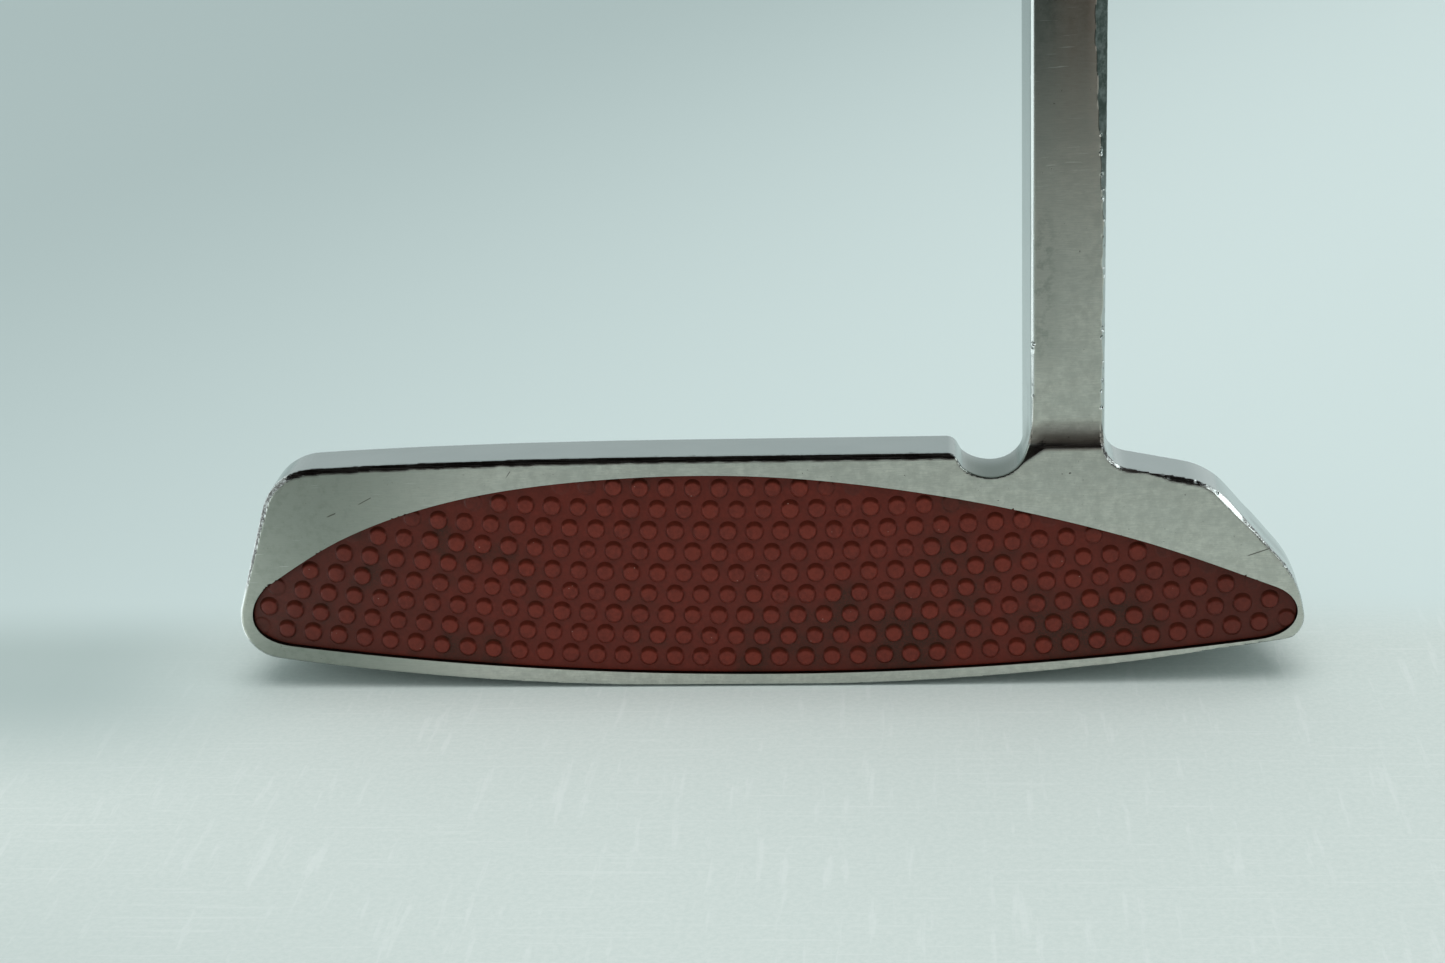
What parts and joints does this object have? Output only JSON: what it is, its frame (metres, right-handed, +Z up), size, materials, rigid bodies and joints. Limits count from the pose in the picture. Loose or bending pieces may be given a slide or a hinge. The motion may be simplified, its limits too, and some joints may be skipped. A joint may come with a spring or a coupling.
{
  "type": "blade putter",
  "caption": "Right-handed blade putter: steel head with a straight flat-fronted neck and a studded polymer face insert, stepped steel shaft, flat-fronted rubber grip.",
  "frame": {"origin": "centre of the small flat on the underside of the sole, where the club rests on level ground at address", "axes": "+X from toe to heel, +Y from the striking face to the back, +Z up; the shaft leans 19 degrees from +Z towards +X"},
  "size_m": [0.3703, 0.0328, 0.8437],
  "materials": {
    "head_steel": "satin ground face, polished topline, neck and sole, worn edges",
    "insert_polymer": "moulded dark red elastomer, satin, grime between the studs",
    "adhesive_film": "dull double-sided bonding film",
    "enamel_black": "glossy paint fill",
    "shaft_chrome": "bright plated steel",
    "epoxy_resin": "cured resin",
    "cork": "pressed cork",
    "black_plastic": "turned and polished",
    "grip_rubber": "matte moulded rubber with fine texture",
    "tape_paper": "creped paper tape"
  },
  "bodies": {
    "root": {"head_casting": "head_steel", "face_insert": "insert_polymer", "insert_adhesive": "adhesive_film", "sight_line_enamel": "enamel_black", "shaft": "shaft_chrome", "shaft_epoxy": "epoxy_resin", "tip_plug": "cork", "ferrule": "black_plastic", "grip_sleeve": "grip_rubber", "grip_tape": "tape_paper", "grip_cap": "black_plastic"}
  },
  "joints": []
}
